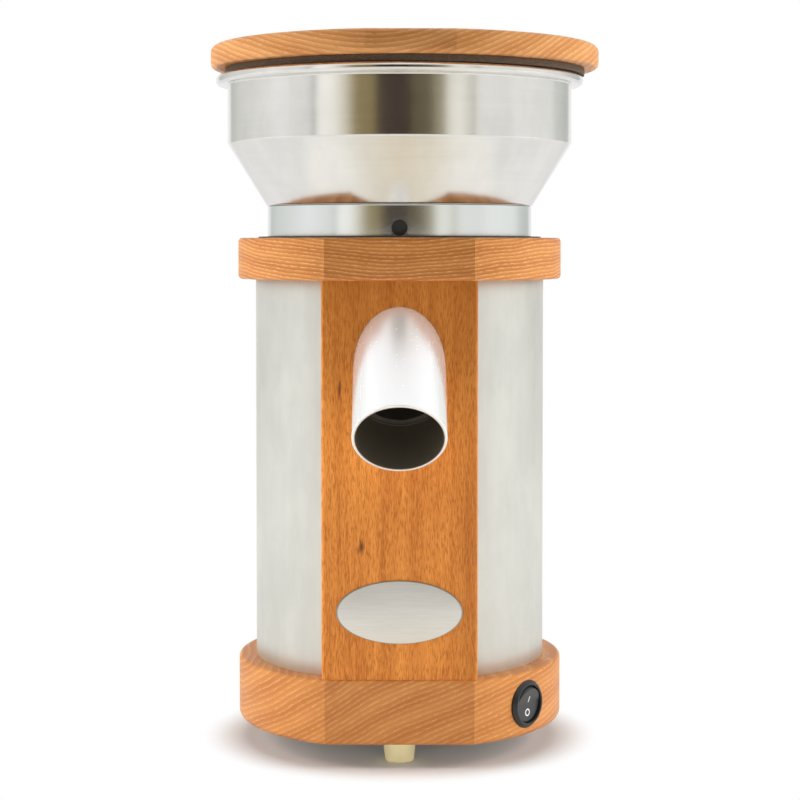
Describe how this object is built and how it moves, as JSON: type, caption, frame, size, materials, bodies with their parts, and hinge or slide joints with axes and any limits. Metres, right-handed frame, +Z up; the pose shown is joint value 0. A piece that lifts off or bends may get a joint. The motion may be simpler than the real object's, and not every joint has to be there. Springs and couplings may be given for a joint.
{
  "type": "electric grain mill",
  "caption": "Upright electric grain mill: round wooden base and top plate, brushed steel body, slanting flour spout, twist-adjusted steel hopper with a wooden lid, rocker switch.",
  "frame": {"origin": "on the mill's vertical axis, at the level of the surface that its feet stand on", "axes": "+Z up along the axis of shaft, millstones, collar and hopper; -Y to the front, where the spout and the flat facet are; +X to the right, on the side of the rocker switch"},
  "size_m": [0.1736, 0.1936, 0.31],
  "materials": {
    "beech": "oiled beech, satin",
    "beech_panel": "oiled steamed beech with fine flecks",
    "beech_lid": "oiled beech, satin",
    "brushed_sheet": "fine vertical brushing",
    "spun_steel": "spun and lathe-polished",
    "spout_metal": "polished",
    "collar_metal": "matte anodised",
    "oval_metal": "horizontal brushing, bare",
    "cast_metal": "cast and machined",
    "black_moulding": "matte",
    "switch_moulding": "satin moulded",
    "capacitor_case": "matte",
    "foot_rubber": "ivory, matte",
    "lid_board": "dark stained fibreboard",
    "corundum": "bonded corundum",
    "plated_steel": "zinc plated",
    "core_steel": "laminated",
    "winding_copper": "enamelled wire",
    "seal_felt": "wool felt"
  },
  "bodies": {
    "housing": {"foot_front": "foot_rubber", "foot_right": "foot_rubber", "foot_left": "foot_rubber", "foot_screws": "plated_steel", "base": "beech", "bottom_cover": "brushed_sheet", "body_shell": "brushed_sheet", "front_panel": "beech_panel", "panel_dowels": "beech", "oval_plate": "oval_metal", "spout_tube": "spout_metal", "top_plate": "beech", "thread_ring": "black_moulding", "ring_screws": "plated_steel", "milling_chamber": "cast_metal", "chamber_screws": "plated_steel", "shaft_seal": "seal_felt", "tie_rods": "plated_steel", "rod_nuts": "plated_steel", "guide_pins": "plated_steel", "lift_springs": "plated_steel", "upper_bracket": "cast_metal", "lower_bracket": "cast_metal", "upper_bearing": "plated_steel", "lower_bearing": "plated_steel", "stator_core": "core_steel", "stator_windings": "winding_copper", "motor_bolts": "plated_steel", "motor_studs": "plated_steel", "run_capacitor": "capacitor_case", "terminal_block": "black_moulding", "switch_body": "switch_moulding", "cord_gland": "black_moulding"},
    "rotor": {"motor_shaft": "plated_steel", "rotor_core": "core_steel", "cooling_fan": "black_moulding", "stone_hub": "cast_metal", "lower_stone": "corundum", "stone_nut": "plated_steel", "flour_wiper": "black_moulding"},
    "stone_lift": {"stone_carrier": "cast_metal", "upper_stone": "corundum"},
    "hopper": {"adjusting_collar": "collar_metal", "index_plug": "black_moulding", "hopper_bowl": "spun_steel", "hopper_screws": "plated_steel"},
    "lid": {"lid": "beech_lid", "lid_disc": "lid_board", "lid_screws": "plated_steel"},
    "rocker": {"rocker": "switch_moulding"}
  },
  "joints": [
    {"name": "motor_spin", "type": "hinge", "parent": "housing", "child": "rotor", "pos_m": [0, 0, 0.17], "axis": [0, 0, 1], "continuous": true},
    {"name": "stone_rise", "type": "slide", "parent": "housing", "child": "stone_lift", "axis": [0, 0, 1], "range_m": [-0.00017, 0.00184], "deforming": ["lift_springs"]},
    {"name": "grind_adjust", "type": "hinge", "parent": "stone_lift", "child": "hopper", "pos_m": [0, 0, 0.2387], "axis": [0, 0, 1], "range_deg": [-30, 330]},
    {"name": "lid_lift", "type": "slide", "parent": "hopper", "child": "lid", "axis": [0, 0, 1], "range_m": [0, 0.08]},
    {"name": "rocker_tilt", "type": "hinge", "parent": "housing", "child": "rocker", "pos_m": [0.05376, -0.04592, 0.02365], "axis": [-0.6494, -0.7604, 0], "range_deg": [0, 20]}
  ],
  "couplings": [
    {"joint": "stone_rise", "follows": "grind_adjust", "m_per_rad": 0.00031831}
  ]
}
